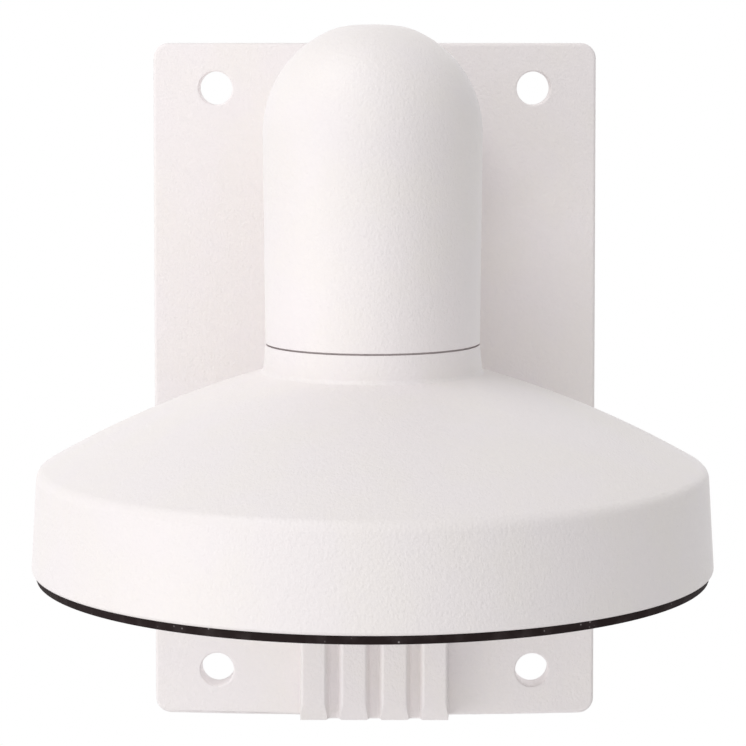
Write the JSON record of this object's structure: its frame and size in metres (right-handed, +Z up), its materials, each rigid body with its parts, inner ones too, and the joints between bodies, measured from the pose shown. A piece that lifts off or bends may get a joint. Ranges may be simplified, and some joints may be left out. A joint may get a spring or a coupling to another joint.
{
  "type": "camera wall bracket",
  "caption": "Wall bracket for a dome camera: a tall wall plate with a ribbed spine, an arm that turns down through a ball-shaped corner, and a wide round cap with a rim gasket.",
  "frame": {"origin": "on the wall, in the middle of the four wall holes", "axes": "+Y into the wall, +Z up, +X to the right for someone who faces the wall"},
  "size_m": [0.1598, 0.1859, 0.1876],
  "materials": {
    "white_coat": "satin",
    "black_rubber": "matte",
    "steel": "satin"
  },
  "bodies": {
    "root": {"wall_bracket": "white_coat", "camera_cap": "white_coat", "rim_gasket": "black_rubber", "locking_screw": "steel"}
  },
  "joints": []
}
